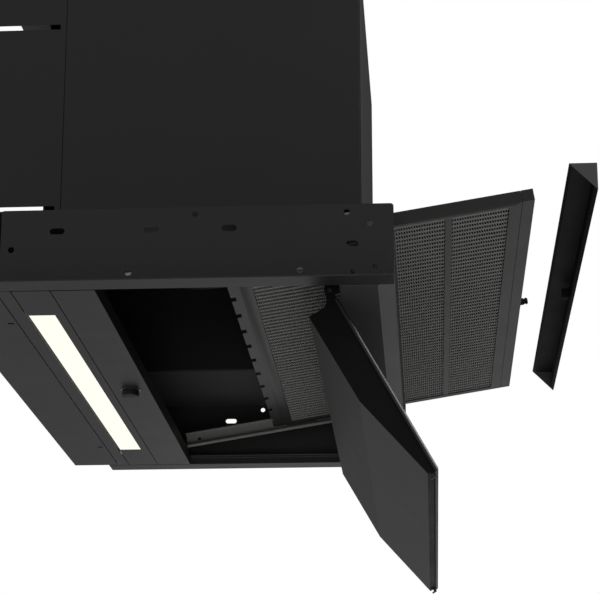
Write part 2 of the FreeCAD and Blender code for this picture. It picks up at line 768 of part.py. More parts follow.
# ---- front trim ---------------------------------------------------------------------------------
fascia_back = fascia_front + fascia_size
fascia_low = fascia_top - fascia_size
step = fascia_lip / math.sqrt(2)
thin = fascia_sheet
profile_points = [
    (fascia_back, fascia_top), (fascia_front, fascia_top), (fascia_front, fascia_low),
    (fascia_front + step, fascia_low + step), (fascia_front + step, fascia_low + step + 1.2 * thin),
    (fascia_front + thin, fascia_low + 2.4 * thin), (fascia_front + thin, fascia_top - thin),
    (fascia_back - 2.4 * thin, fascia_top - thin), (fascia_back - step - 1.2 * thin, fascia_top - step),
    (fascia_back - step, fascia_top - step),
]
save("fascia_profile", prism(profile_points, -fascia_half + fascia_cap, fascia_half - fascia_cap))
cap = prism([(fascia_back, fascia_top), (fascia_front, fascia_top), (fascia_front, fascia_low)],
            fascia_half - fascia_cap, fascia_half)
save("fascia_end_caps", group([cap, mirrored(cap)]))

seat_travel = (filter_front - peg_length - fascia_seat_gap - fascia_front - thin) / math.cos(tilt)
clip_length = peg_length + 1.0
clip_y = -seat_travel - clip_length
clip_wall = 1.2
clip_half = peg_r + clip_wall
clip = block(-clip_half, clip_half, clip_y, clip_y + clip_length - 1, peg_z - clip_half, peg_z + clip_half)
clip_bore = rod(peg_r + shaft_clearance, V(0, clip_y + 1, peg_z), Y_AXIS, clip_length)
clip = on_filter(clip.cut(clip_bore))
clip = clip.common(prism([(fascia_back - 1, fascia_top - thin), (fascia_front + thin, fascia_top - thin),
                          (fascia_front + thin, fascia_low + thin)], -clip_half, clip_half))
save("fascia_clip", clip)

# ---- fasteners ----------------------------------------------------------------------------------
head_r = 3.4
head_height = 1.3
lid_screws = [
    rod(head_r, V(x, y, box_top), Z_AXIS, head_height)
    for x in (-box_x + 12, box_x - 12) for y in (box_front + 14, box_seam - 14)
]
spacer_screws = [
    rod(spacer_screw_r - 0.1, V(side * spacer_screw_x, spacer_screw_y, 0.5), Z_AXIS, 7)
    for side in (-1, 1)
]
save("casing_screws", group(lid_screws + spacer_screws))
print("seat travel of the front trim: %.2f mm" % seat_travel)
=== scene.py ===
"""Black built-in cooker hood, opened for cleaning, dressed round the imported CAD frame. Metres, CAD frame."""
import bpy
import bmesh
import json
from math import cos, pi, radians, sin
from mathutils import Matrix, Vector

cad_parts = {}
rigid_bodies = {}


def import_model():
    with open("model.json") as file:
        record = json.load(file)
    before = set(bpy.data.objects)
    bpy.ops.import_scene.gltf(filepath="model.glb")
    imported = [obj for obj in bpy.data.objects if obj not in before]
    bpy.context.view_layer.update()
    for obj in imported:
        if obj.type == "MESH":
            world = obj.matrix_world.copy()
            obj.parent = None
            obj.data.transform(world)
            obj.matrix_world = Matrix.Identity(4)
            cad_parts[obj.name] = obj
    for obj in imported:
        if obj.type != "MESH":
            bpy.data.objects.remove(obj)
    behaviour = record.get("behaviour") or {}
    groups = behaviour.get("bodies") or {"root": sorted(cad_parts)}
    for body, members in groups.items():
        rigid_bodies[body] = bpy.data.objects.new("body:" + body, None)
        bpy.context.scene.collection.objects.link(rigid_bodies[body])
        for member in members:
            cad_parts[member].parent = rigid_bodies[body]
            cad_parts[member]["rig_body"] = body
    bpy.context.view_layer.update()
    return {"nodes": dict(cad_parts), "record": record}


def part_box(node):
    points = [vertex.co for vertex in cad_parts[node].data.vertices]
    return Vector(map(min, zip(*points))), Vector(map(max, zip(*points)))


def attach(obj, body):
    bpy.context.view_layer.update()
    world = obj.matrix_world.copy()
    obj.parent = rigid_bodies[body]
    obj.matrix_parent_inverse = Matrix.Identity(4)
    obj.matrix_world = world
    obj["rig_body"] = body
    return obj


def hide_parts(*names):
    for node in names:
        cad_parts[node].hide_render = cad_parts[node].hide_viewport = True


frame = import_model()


# ---- Casing side walls and trim strips ----------------------------------------------------------
# The two side walls are laser-cut 1 mm steel, and the trim strips under them are folded strips that hide
# the cabinet's edges. Both are powder coated black: a fine orange peel with a soft satin shine, and
# edges that the coat has rounded.
MM = 0.001


def hex_colour(code):
    """Linear RGBA of an sRGB hex colour."""
    channels = [int(code[i:i + 2], 16) / 255 for i in (1, 3, 5)]
    return tuple(c / 12.92 if c <= 0.04045 else ((c + 0.055) / 1.055) ** 2.4 for c in channels) + (1.0,)


def node(tree, kind, inputs=None, **settings):
    """Adds one node with its settings, and sets or links its inputs."""
    made = tree.nodes.new(kind)
    for key, value in settings.items():
        setattr(made, key, value)
    for key, value in (inputs or {}).items():
        if isinstance(value, bpy.types.NodeSocket):
            tree.links.new(value, made.inputs[key])
        else:
            made.inputs[key].default_value = value
    return made


def new_finish(name):
    """New material, with its node tree, its surface shader and the place on the piece."""
    material = bpy.data.materials.new(name)
    material.use_nodes = True
    tree = material.node_tree
    return material, tree, tree.nodes["Principled BSDF"], node(tree, "ShaderNodeTexCoord").outputs["Object"]


def speckled_finish(name, dark, light, rough, grain_mm, grain_height_mm, patch_mm=35.0, **shader):
    """Solid finish with a fine grain, and slow changes of tone and shine between two colours."""
    material, tree, surface, place = new_finish(name)
    patches = node(tree, "ShaderNodeTexNoise",
                   {"Vector": place, "Scale": 1 / (patch_mm * MM), "Detail": 3.0, "Roughness": 0.6})
    tone = node(tree, "ShaderNodeMix", {"Factor": patches.outputs["Fac"], "A": hex_colour(dark),
                                        "B": hex_colour(light)}, data_type="RGBA")
    tree.links.new(tone.outputs["Result"], surface.inputs["Base Color"])
    shine = node(tree, "ShaderNodeMapRange", {"Value": patches.outputs["Fac"], "From Min": 0.3,
                                              "From Max": 0.7, "To Min": rough[0], "To Max": rough[1]})
    tree.links.new(shine.outputs["Result"], surface.inputs["Roughness"])
    grain = node(tree, "ShaderNodeTexNoise",
                 {"Vector": place, "Scale": 1 / (grain_mm * MM), "Detail": 2.0, "Roughness": 0.5})
    bump = node(tree, "ShaderNodeBump", {"Height": grain.outputs["Fac"], "Strength": 1.0,
                                         "Distance": grain_height_mm * MM})
    tree.links.new(bump.outputs["Normal"], surface.inputs["Normal"])
    for socket, value in shader.items():
        surface.inputs[socket.replace("_", " ")].default_value = value
    return material


# orange peel is drawn at 1.6 mm, coarser than the usual 0.5 mm, so that it shows at all
peel_mm, peel_height_mm = 1.6, 0.012
satin = (0.41, 0.44)
black_powder_coat = speckled_finish("black_satin_powder_coat", "#151514", "#161615", satin,
                                    peel_mm, peel_height_mm, Specular_IOR_Level=0.5)

slot_of = {part["node"]: part["material_slot"] for part in frame["record"]["subparts"]}
JOIN = 0.002 * MM                # corners nearer than this are one corner
SHARP = radians(28)              # edges sharper than this get rounded


def merged_copy(node_name):
    """Bmesh of a CAD node with its loose triangles joined and its flat faces made whole."""
    bm = bmesh.new()
    bm.from_mesh(frame["nodes"][node_name].data)
    bmesh.ops.remove_doubles(bm, verts=bm.verts, dist=JOIN)
    bmesh.ops.dissolve_limit(bm, angle_limit=radians(0.5), verts=bm.verts, edges=bm.edges)
    return bm


def in_scene(name, data):
    """New object in the scene."""
    made = bpy.data.objects.new(name, data)
    bpy.context.scene.collection.objects.link(made)
    return made


def settle(bm, name, material, body, slot, *replaced):
    """Turns a bmesh into a piece that rides on a body and stands for its CAD nodes."""
    mesh = bpy.data.meshes.new(name)
    bm.to_mesh(mesh)
    bm.free()
    piece = in_scene(name, mesh)
    mesh.materials.append(material)
    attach(piece, body)
    if replaced:
        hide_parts(*replaced)
    return piece


def rounded(node_name, name, material, radius_mm, segments=2):
    """The CAD node's own shape with every sharp edge rounded."""
    bm = merged_copy(node_name)
    sharp = [e for e in bm.edges if len(e.link_faces) == 2 and e.calc_face_angle() > SHARP]
    bmesh.ops.bevel(bm, geom=sharp, offset=radius_mm * MM, affect="EDGES", segments=segments,
                    profile=0.5, material=-1, clamp_overlap=True)
    body = frame["nodes"][node_name]["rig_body"]
    return settle(bm, name, material, body, slot_of[node_name], node_name)


coat_edge = 0.25                 # radius that the coat leaves on a cut edge
for side in ("left", "right"):
    rounded("side_wall_" + side, "side_wall_sheet_" + side, black_powder_coat, coat_edge)
    rounded("trim_strip_" + side, "trim_strip_fold_" + side, black_powder_coat, coat_edge)


# ---- Underside panels, rear wall and spacer -----------------------------------------------------
# Folded 1 mm steel panels close the underside from the wall to the intake. They hang on the side walls
# with thin shadow gaps between them, in the same black coat.
for part in ("rear_spacer", "rear_wall", "light_panel", "control_panel"):
    rounded(part, part + "_sheet", black_powder_coat, coat_edge)
# the front bar is painted a shade greyer than the panels: painted light, brightening the bar where it lies in
# shade by the flap
painted_light_coat = speckled_finish("black_satin_powder_coat_painted_lighter", "#262626", "#282828", satin,
                              peel_mm, peel_height_mm)
rounded("front_bar", "front_bar_sheet", painted_light_coat, coat_edge)
# the top plate is duller than the panels
dull_coat = speckled_finish("black_dull_inner_coat", "#1b1b1a", "#1d1d1c", (0.72, 0.78),
                            peel_mm, peel_height_mm)
rounded("top_plate", "top_plate_sheet", dull_coat, coat_edge)


# ---- Lamp ---------------------------------------------------------------------------------------
# An opal acrylic strip clips into the light panel's window, over a row of LEDs on a white board in a
# galvanised tray. The driver is a small sealed plastic box beside it.
def galvanised(name, spangle_mm):
    """Zinc-coated steel: bright, with a flat crystal pattern that changes its tone and shine."""
    material, tree, surface, place = new_finish(name)
    crystals = node(tree, "ShaderNodeTexVoronoi", {"Vector": place, "Scale": 1 / (spangle_mm * MM)})
    tone = node(tree, "ShaderNodeMix", {"Factor": crystals.outputs["Color"], "A": hex_colour("#8f9294"),
                                        "B": hex_colour("#b9bbbc")}, data_type="RGBA")
    tree.links.new(tone.outputs["Result"], surface.inputs["Base Color"])
    shine = node(tree, "ShaderNodeMapRange", {"Value": crystals.outputs["Distance"], "To Min": 0.32,
                                              "To Max": 0.5})
    tree.links.new(shine.outputs["Result"], surface.inputs["Roughness"])
    surface.inputs["Metallic"].default_value = 1.0
    return material


zinc_sheet = galvanised("galvanised_sheet_steel", 5.0)
rounded("led_tray", "led_tray_fold", zinc_sheet, 0.2)

lit_acrylic, lit_tree, lit_surface, lit_place = new_finish("opal_acrylic_lit")
strip_mm, diode_count = 431.0, 24
led_pitch = strip_mm / diode_count * MM      # the diodes show as a barely brighter wave along the strip
lit_wave = node(lit_tree, "ShaderNodeTexWave", {"Vector": lit_place, "Scale": pi / (10 * led_pitch)},
                bands_direction="X")
lit_tone = node(lit_tree, "ShaderNodeMix", {"Factor": lit_wave.outputs["Fac"], "A": hex_colour("#fdfdee"),
                                            "B": hex_colour("#fffff3")}, data_type="RGBA")
lit_tree.links.new(lit_tone.outputs["Result"], lit_surface.inputs["Emission Color"])
lit_surface.inputs["Emission Strength"].default_value = 1.0
lit_surface.inputs["Base Color"].default_value = hex_colour("#0b0b0a")
lit_surface.inputs["Roughness"].default_value = 0.5
rounded("led_diffuser", "led_diffuser_strip", lit_acrylic, 0.15)

white_board = speckled_finish("white_solder_mask", "#e4e7e2", "#eceee9", (0.35, 0.45), 2.0, 0.01)
rounded("led_board", "led_board_strip", white_board, 0.05, 1)
# fine spark-eroded grain, drawn at 0.9 mm so that it reads at all
black_abs = speckled_finish("moulded_black_abs", "#0c0c0c", "#101010", (0.48, 0.58), 0.9, 0.02)
rounded("led_driver", "led_driver_case", black_abs, 1.2, 3)


# ---- Knob, bezel and switch ---------------------------------------------------------------------
# A small black knob, moulded with three rings round its side, with a pale pointer line on its end, pushed
# onto a steel shaft. A thin satin ring trims its hole, and the rotary switch sits behind the panel.
def turned(profile_mm, centre, axis, steps, closed=True):
    """Bmesh of a lathe-turned solid: (radius, height) points in mm, round an axis through centre."""
    bm = bmesh.new()
    points = [bm.verts.new((r * MM, 0, h * MM)) for r, h in profile_mm]
    edges = [bm.edges.new(pair) for pair in zip(points, points[1:])]
    if closed:
        edges.append(bm.edges.new((points[-1], points[0])))
    bmesh.ops.spin(bm, geom=points + edges, cent=(0, 0, 0), axis=(0, 0, 1), angle=2 * pi, steps=steps,
                   use_merge=True)
    bmesh.ops.remove_doubles(bm, verts=bm.verts, dist=JOIN)
    bmesh.ops.recalc_face_normals(bm, faces=bm.faces)
    turn = Vector((0, 0, 1)).rotation_difference(Vector(axis)).to_matrix().to_4x4()
    bmesh.ops.transform(bm, matrix=Matrix.Translation(centre) @ turn, verts=bm.verts)
    return bm


def smooth(piece, angle=40):
    """Smooth shading on the round faces, with the edges past the angle kept sharp."""
    mesh = piece.data
    for face in mesh.polygons:
        face.use_smooth = True
    mesh.set_sharp_from_angle(angle=radians(angle))
    return piece


def middle(node_name):
    """Centre of a CAD node's box."""
    lo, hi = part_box(node_name)
    return (lo + hi) / 2


knob_lo, knob_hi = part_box("control_knob")
knob_mid = middle("control_knob")
knob_r = (knob_hi.x - knob_lo.x) / 2 / MM
knob_h = (knob_hi.z - knob_lo.z) / MM
ring_count, ring_depth, ring_half, ring_floor_half = 3, 0.35, 0.25, 0.12
shaft_bore_r, shaft_bore_depth = 3.0, 2.7
knob_profile = [(0, 0), (knob_r - 0.7, 0), (knob_r - 0.25, 0.12), (knob_r, 0.5)]
for i in range(ring_count):
    level = knob_h / (ring_count + 1) * (i + 1)
    knob_profile += [(knob_r, level - ring_half), (knob_r - ring_depth, level - ring_floor_half),
                     (knob_r - ring_depth, level + ring_floor_half), (knob_r, level + ring_half)]
knob_profile += [(knob_r, knob_h - 0.2), (knob_r - 0.2, knob_h), (shaft_bore_r, knob_h),
                 (shaft_bore_r, knob_h - shaft_bore_depth), (0, knob_h - shaft_bore_depth)]
knob_bm = turned(knob_profile, Vector((knob_mid.x, knob_mid.y, knob_lo.z)), (0, 0, 1), 64, closed=False)
smooth(settle(knob_bm, "control_knob_turned", black_abs, "knob", "knob_black", "control_knob"))

pointer_w, pointer_len, pointer_h, pointer_out = 0.7, 4.4, 0.1, 3.6
pointer_bm = bmesh.new()
bmesh.ops.create_cube(pointer_bm, size=1.0)
bmesh.ops.scale(pointer_bm, vec=(pointer_w * MM, pointer_len * MM, pointer_h * MM), verts=pointer_bm.verts)
bmesh.ops.translate(pointer_bm, vec=(knob_mid.x, knob_mid.y + pointer_out * MM,
                                     knob_lo.z + pointer_h / 2 * MM), verts=pointer_bm.verts)
grey_print = speckled_finish("light_grey_pad_print", "#b9b9b6", "#c6c6c3", (0.5, 0.6), 0.8, 0.005)
settle(pointer_bm, "knob_pointer_line", grey_print, "knob", "knob_black")

satin_chrome = speckled_finish("satin_dark_chrome", "#6f7072", "#7c7d7f", (0.3, 0.38), 1.2, 0.004,
                               Metallic=1.0)
bezel_lo, bezel_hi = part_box("knob_bezel")
bezel_r = (bezel_hi.x - bezel_lo.x) / 2 / MM
bezel_bore, bezel_h = 3.7, 0.5
bezel_bm = turned([(bezel_bore, bezel_h), (bezel_bore, 0.1), (bezel_r - 0.5, 0.0), (bezel_r, 0.3),
                   (bezel_r, bezel_h)],
                  Vector((middle("knob_bezel").x, middle("knob_bezel").y, bezel_lo.z)), (0, 0, 1), 64)
smooth(settle(bezel_bm, "knob_bezel_ring", satin_chrome, "housing", "bezel_metal", "knob_bezel"))
rounded("knob_shaft", "knob_shaft_rod", zinc_sheet, 0.3)
rounded("rotary_switch", "rotary_switch_case", black_abs, 0.6)


# ---- Motor housing ------------------------------------------------------------------------------
# A tall box of 1 mm sheet above the body, welded at its corners, with lapped flanges that reach the
# wall and carry the hanging slots. Its lid is screwed down round the outlet.
for part in ("motor_box_front", "motor_box_side_left", "motor_box_side_right", "motor_box_rear",
             "motor_box_lid", "wall_flanges"):
    rounded(part, part + "_sheet", black_powder_coat, coat_edge)


# ---- Duct collar and backdraft flaps ------------------------------------------------------------
# The outlet collar is moulded black plastic with a rolled bead that holds the duct's clamp. Two thin
# half-round flaps with stiffening ribs hang on steel pins inside it.
collar_lo, collar_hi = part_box("duct_collar")
collar_h = (collar_hi.z - collar_lo.z) / MM
collar_flange_r = (collar_hi.x - collar_lo.x) / 2 / MM
collar_r, collar_bore, flange_h = 74.0, 72.4, 1.6
collar_skin = collar_r - 0.2
bead, bead_h = 0.9, 3            # clamp bead, a half round
bead_start = collar_h - 9
collar_profile = [(collar_bore, 0), (collar_flange_r, 0), (collar_flange_r, flange_h - 0.5),
                  (collar_flange_r - 0.5, flange_h), (collar_r + 1.2, flange_h),
                  (collar_skin, flange_h + 1.2), (collar_skin, bead_start)]
collar_profile += [(collar_skin + bead * sin(pi * i / 6), bead_start + bead_h * i / 6) for i in range(1, 7)]
collar_profile += [(collar_skin, collar_h - 1), (collar_r - 0.7, collar_h), (collar_bore, collar_h)]
collar_bm = turned(collar_profile, Vector((0, middle("duct_collar").y, collar_lo.z)), (0, 0, 1), 96)
smooth(settle(collar_bm, "duct_collar_moulding", black_abs, "housing", "knob_black", "duct_collar"), 30)
for end in ("front", "rear"):
    rounded("backdraft_flap_" + end, "backdraft_flap_%s_moulding" % end, black_abs, 0.2)
rounded("backdraft_pins", "backdraft_pin_rods", zinc_sheet, 0.3)


# ---- Blower: scroll, inlet rings, motor and its bracket -----------------------------------------
# A double-inlet blower hangs under the lid. The scroll is black moulded plastic, each inlet has a
# rounded ring, and the motor sits inside the left inlet on a three-armed galvanised bracket.
black_pp = speckled_finish("moulded_black_polypropylene", "#131314", "#191a1a", (0.42, 0.52), 1.2, 0.015)
rounded("blower_scroll", "blower_scroll_moulding", black_pp, 0.5)
ring_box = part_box("inlet_rings")
ring_mid = middle("inlet_rings")
lip_h = 2.0
for x_end in (0, 1):
    lip_x = ring_box[x_end].x
    outward = 1 if x_end else -1
    lip_r = (ring_box[1].z - ring_box[0].z) / 2 / MM
    lip_profile = [(lip_r - 6, 0), (lip_r - 6, 0.9), (lip_r - 5.2, 1.7), (lip_r - 4, lip_h),
                   (lip_r - 0.5, lip_h), (lip_r, 1.4), (lip_r, 0)]
    lip_bm = turned(lip_profile, Vector((lip_x - outward * lip_h * MM, ring_mid.y, ring_mid.z)),
                    (outward, 0, 0), 72)
    lip_name = "inlet_ring_" + ("right" if x_end else "left")
    smooth(settle(lip_bm, lip_name, zinc_sheet, "housing", "zinc_steel", "inlet_rings"))

motor_grey = speckled_finish("grey_cast_paint", "#5f6163", "#6b6d6e", (0.5, 0.6), 1.5, 0.03)
motor_lo, motor_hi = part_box("motor")
motor_r = (motor_hi.z - motor_lo.z) / 2 / MM
motor_len = (motor_hi.x - motor_lo.x) / MM
motor_profile = [(0, 0), (motor_r - 12, 0), (motor_r - 9, 3), (motor_r - 2, 4), (motor_r, 6)]
fin_count, fin_depth, fin_margin = 6, 2.2, 7
rotor_bore_r, rotor_bore_end = 4.1, 6
fin_step = (motor_len - 2 * fin_margin) / fin_count
for i in range(fin_count):
    start = fin_margin + fin_step * i
    motor_profile += [(motor_r, start), (motor_r - fin_depth, start + 0.4),
                      (motor_r - fin_depth, start + fin_step / 2), (motor_r, start + fin_step / 2 + 0.4)]
motor_profile += [(motor_r, motor_len - 5), (motor_r - 4, motor_len - 1), (motor_r - 14, motor_len),
                  (rotor_bore_r, motor_len), (rotor_bore_r, rotor_bore_end), (0, rotor_bore_end)]
motor_bm = turned(motor_profile, Vector((motor_lo.x, middle("motor").y, middle("motor").z)), (1, 0, 0), 64,
                  closed=False)
smooth(settle(motor_bm, "motor_finned_case", motor_grey, "housing", "motor_grey", "motor"), 30)
rounded("motor_bracket", "motor_bracket_pressing", zinc_sheet, 0.3)
rounded("rotor_shaft", "rotor_shaft_rod", zinc_sheet, 0.3)
rounded("capacitor", "capacitor_can", black_abs, 1.5, 3)
rounded("terminal_box", "terminal_box_moulding", black_abs, 0.8)


# ---- Impeller -----------------------------------------------------------------------------------
# The wheel is black plastic: blades that curve forward stand between two end rings, round a centre disc
# with a hub on the shaft.
wheel_lo, wheel_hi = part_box("impeller_rims")
wheel_mid = (wheel_lo + wheel_hi) / 2
wheel_r = (wheel_hi.z - wheel_lo.z) / 2 / MM
wheel_w = (wheel_hi.x - wheel_lo.x) / MM
blade_in, blade_count, blade_sheet = 61.0, 30, 0.7
blade_curve, blade_lean = 0.62, 0.16
rim_in, rim_h, rim_edge = 60, 2.4, 0.4
hub_bore, hub_r, hub_h = 4.0, 12, 14
wheel_bm = bmesh.new()
bmesh.ops.create_grid(wheel_bm, x_segments=1, y_segments=6, size=0.5)
for v in wheel_bm.verts:
    along = v.co.y + 0.5          # 0 at the inner edge, 1 at the outer one
    lean = blade_curve * sin(along * pi / 2 * 0.9)
    radius = (blade_in + (wheel_r - 1 - blade_in) * along) * MM
    v.co = (v.co.x * (wheel_w - 3) * MM, radius * sin(lean * blade_lean), radius * cos(lean * blade_lean))
bmesh.ops.solidify(wheel_bm, geom=wheel_bm.faces[:], thickness=blade_sheet * MM)
bmesh.ops.spin(wheel_bm, geom=wheel_bm.verts[:] + wheel_bm.edges[:] + wheel_bm.faces[:], cent=(0, 0, 0),
               axis=(1, 0, 0), angle=2 * pi * (blade_count - 1) / blade_count, steps=blade_count - 1,
               use_duplicate=True)
bmesh.ops.recalc_face_normals(wheel_bm, faces=wheel_bm.faces)
bmesh.ops.translate(wheel_bm, vec=wheel_mid, verts=wheel_bm.verts)
wheel_parts = [wheel_bm]
rim_profile = [(rim_in, 0), (wheel_r - rim_edge, 0), (wheel_r, rim_edge), (wheel_r, rim_h - rim_edge),
               (wheel_r - rim_edge, rim_h), (rim_in, rim_h)]
disc_profile = [(hub_bore, 0), (63, 0), (63, rim_h), (hub_r + 3, rim_h), (hub_r, rim_h + 2),
                (hub_r, hub_h - 0.6), (hub_r - 0.6, hub_h), (hub_bore, hub_h)]
disc_x = -4.0
for profile, x in ((rim_profile, -wheel_w / 2), (rim_profile, wheel_w / 2 - rim_h), (disc_profile, disc_x)):
    wheel_parts.append(turned(profile, wheel_mid + Vector((x * MM, 0, 0)), (1, 0, 0), 72))
gathered = bpy.data.meshes.new("impeller_parts")
whole_bm = bmesh.new()
for part_bm in wheel_parts:
    part_bm.to_mesh(gathered)
    part_bm.free()
    whole_bm.from_mesh(gathered)
bpy.data.meshes.remove(gathered)
smooth(settle(whole_bm, "impeller_wheel", black_pp, "impeller", "blower_plastic", "impeller",
              "impeller_rims"), 30)


# ---- Cassette rails, their brackets and the slide shoes -----------------------------------------
# Two folded channels slope down from the front bar to the control panel, and the cassette runs in them
# on small plastic shoes. Dull zinc plate is a guess that fits how light they are.
rail_coat = speckled_finish("dull_zinc_plate", "#686866", "#6e6e6b", (0.38, 0.44), 1.2, 0.006)
rounded("guide_rails", "guide_rail_folds", rail_coat, coat_edge)
rounded("rail_brackets", "rail_bracket_folds", rail_coat, coat_edge)
rounded("slide_shoes", "slide_shoe_mouldings", black_abs, 0.5, 3)


# ---- Filter cassette ----------------------------------------------------------------------------
# A flat black-coated aluminium box frame with a slotted metal sheet on each face and layers of
# knitted metal between them, which catch the grease. A cross bar stiffens it, its rear edge is a
# notched strip, and a peg at its front holds the trim.
for part in ("filter_front_rail", "filter_frame", "filter_rear_strip", "filter_mid_bar"):
    rounded(part, part + "_fold", black_powder_coat, 0.12)
tilt = radians(9.2)
peg_r, peg_neck_r, peg_len = 2.7, 2.1, 6.5
filter_out = Vector((0, -cos(tilt), sin(tilt)))
peg_root = middle("filter_peg") - filter_out * peg_len / 2 * MM
peg_bm = turned([(0, 0), (peg_r, 0), (peg_r, 3.2), (peg_neck_r, 3.8), (peg_neck_r, 4.4), (peg_r, 5.0),
                 (2.6, 5.8), (1.9, peg_len), (0, peg_len)], peg_root, filter_out, 32, closed=False)
peg_rubber = speckled_finish("matt_black_rubber", "#090909", "#0c0c0c", (0.6, 0.7), 0.8, 0.01,
                             Specular_IOR_Level=0.15)
smooth(settle(peg_bm, "filter_peg_turned", peg_rubber, "filter", "knob_black", "filter_peg"))

# lower sheet: slots 8.6 mm apart across the hood and 1.75 mm apart front to rear, with twisted bars
coated_mesh = speckled_finish("black_coated_slotted_sheet", "#61615f", "#6a6a68", (0.26, 0.32), 1.0, 0.01)
# the upper sheet's finer and squarer mesh is a guess
low_pitch, low_slot = Vector((8.6, 1.75, 0)), Vector((5.2, 1.05, 0.6))
high_pitch, high_slot = Vector((5.0, 2.7, 0)), Vector((3.4, 1.7, 0.6))
mesh_sheet = 0.4
filter_turn = Matrix.Rotation(-tilt, 4, "X")
filter_origin = Vector((0, -396.8, 63.6)) * MM


def repeated(bm, count, step):
    """Copies everything in the bmesh count - 1 times, a step apart."""
    cell = bm.verts[:] + bm.edges[:] + bm.faces[:]
    for i in range(1, count):
        copy = bmesh.ops.duplicate(bm, geom=cell)["geom"]
        bmesh.ops.translate(bm, vec=step * i * MM,
                            verts=[g for g in copy if isinstance(g, bmesh.types.BMVert)])


def slotted_sheet(y0, y1, z, half_width, slot_pitch, slot):
    """Bmesh of one sheet in the cassette's own frame, in mm, trimmed to its window."""
    bm = bmesh.new()
    bmesh.ops.create_grid(bm, x_segments=1, y_segments=1, size=0.5)
    bmesh.ops.scale(bm, vec=slot_pitch * MM, verts=bm.verts)
    hole = bm.faces[:]
    bmesh.ops.inset_individual(bm, faces=hole, thickness=0.2 * MM)
    for v in hole[0].verts:
        across, along = (1 if v.co.x > 0 else -1), (1 if v.co.y > 0 else -1)
        v.co = Vector((slot.x * across, slot.y * along, slot.z * along)) / 2 * MM
    bmesh.ops.delete(bm, geom=hole, context="FACES_ONLY")
    bmesh.ops.translate(bm, vec=Vector((-half_width, y0, z)) * MM, verts=bm.verts)
    repeated(bm, int(2 * half_width / slot_pitch.x) + 2, Vector((slot_pitch.x, 0, 0)))
    repeated(bm, int((y1 - y0) / slot_pitch.y) + 2, Vector((0, slot_pitch.y, 0)))
    bmesh.ops.remove_doubles(bm, verts=bm.verts, dist=0.01 * MM)
    for normal, limit in (((1, 0, 0), half_width), ((-1, 0, 0), half_width),
                          ((0, 1, 0), y1), ((0, -1, 0), -y0)):
        bmesh.ops.bisect_plane(bm, geom=bm.verts[:] + bm.edges[:] + bm.faces[:], clear_outer=True,
                               plane_co=Vector(normal) * limit * MM, plane_no=normal)
    bmesh.ops.solidify(bm, geom=bm.faces[:], thickness=mesh_sheet * MM)
    bmesh.ops.recalc_face_normals(bm, faces=bm.faces)
    bmesh.ops.transform(bm, matrix=Matrix.Translation(filter_origin) @ filter_turn, verts=bm.verts)
    return bm


window_half = 248.0
fields = {"front": (17.0, 55.8), "rear": (60.7, 198.9)}
low_sheet, high_sheet = 1.45, 6.65
for field, (y0, y1) in fields.items():
    for z, slot_pitch, slot, sheet_name, cad_node in (
            (low_sheet, low_pitch, low_slot, "filter_mesh_%s_sheet" % field, "filter_mesh_" + field),
            (high_sheet, high_pitch, high_slot, "filter_top_mesh_%s_sheet" % field, "filter_top_mesh")):
        settle(slotted_sheet(y0, y1, z, window_half, slot_pitch, slot), sheet_name, coated_mesh,
               "filter", "mesh_black", cad_node)

# knitted metal behind the sheets: crumpled layers with a loop pattern drawn at 3 mm
knitted, knit_tree, knit_surface, knit_place = new_finish("knitted_aluminium_layers")
loop_mm, wool_thick, wool_mid, wool_cell = 3.0, 3.2, 4.05, 6
knit_loops = node(knit_tree, "ShaderNodeTexVoronoi", {"Vector": knit_place, "Scale": 1 / (loop_mm * MM)},
                  feature="DISTANCE_TO_EDGE")
knit_wire = node(knit_tree, "ShaderNodeMapRange", {"Value": knit_loops.outputs["Distance"],
                                                   "From Min": 0.05, "From Max": 0.18})
knit_tone = node(knit_tree, "ShaderNodeMix", {"Factor": knit_wire.outputs["Result"],
                                              "A": hex_colour("#2c2c2b"), "B": hex_colour("#060606")},
                 data_type="RGBA")
knit_tree.links.new(knit_tone.outputs["Result"], knit_surface.inputs["Base Color"])
knit_bump = node(knit_tree, "ShaderNodeBump", {"Height": knit_wire.outputs["Result"], "Strength": 1.0,
                                               "Distance": 0.6 * MM}, invert=True)
knit_tree.links.new(knit_bump.outputs["Normal"], knit_surface.inputs["Normal"])
knit_surface.inputs["Roughness"].default_value = 0.55
knit_surface.inputs["Specular IOR Level"].default_value = 0.3
for field, (y0, y1) in fields.items():
    wool_bm = bmesh.new()
    bmesh.ops.create_cube(wool_bm, size=MM)
    bmesh.ops.scale(wool_bm, vec=(2 * window_half, y1 - y0, wool_thick), verts=wool_bm.verts)
    long_edges = [e for e in wool_bm.edges if abs((e.verts[0].co - e.verts[1].co).x) > 1 * MM]
    bmesh.ops.subdivide_edges(wool_bm, edges=long_edges, cuts=90, use_grid_fill=True)
    deep_edges = [e for e in wool_bm.edges if abs((e.verts[0].co - e.verts[1].co).y) > 1 * MM]
    bmesh.ops.subdivide_edges(wool_bm, edges=deep_edges, cuts=int((y1 - y0) / wool_cell), use_grid_fill=True)
    for v in wool_bm.verts:          # crossing waves crumple both faces
        fold = 0.35 * sin(v.co.x / MM * 0.9 + v.co.y / MM * 0.31) + 0.3 * sin(v.co.y / MM * 1.3)
        v.co.z += (fold - 0.1) * MM * (1 if v.co.z > 0 else -1) * 0.5
    bmesh.ops.translate(wool_bm, vec=Vector((0, (y0 + y1) / 2, wool_mid)) * MM, verts=wool_bm.verts)
    bmesh.ops.transform(wool_bm, matrix=Matrix.Translation(filter_origin) @ filter_turn, verts=wool_bm.verts)
    smooth(settle(wool_bm, "filter_wool_" + field, knitted, "filter", "filter_wool", "filter_wool"))


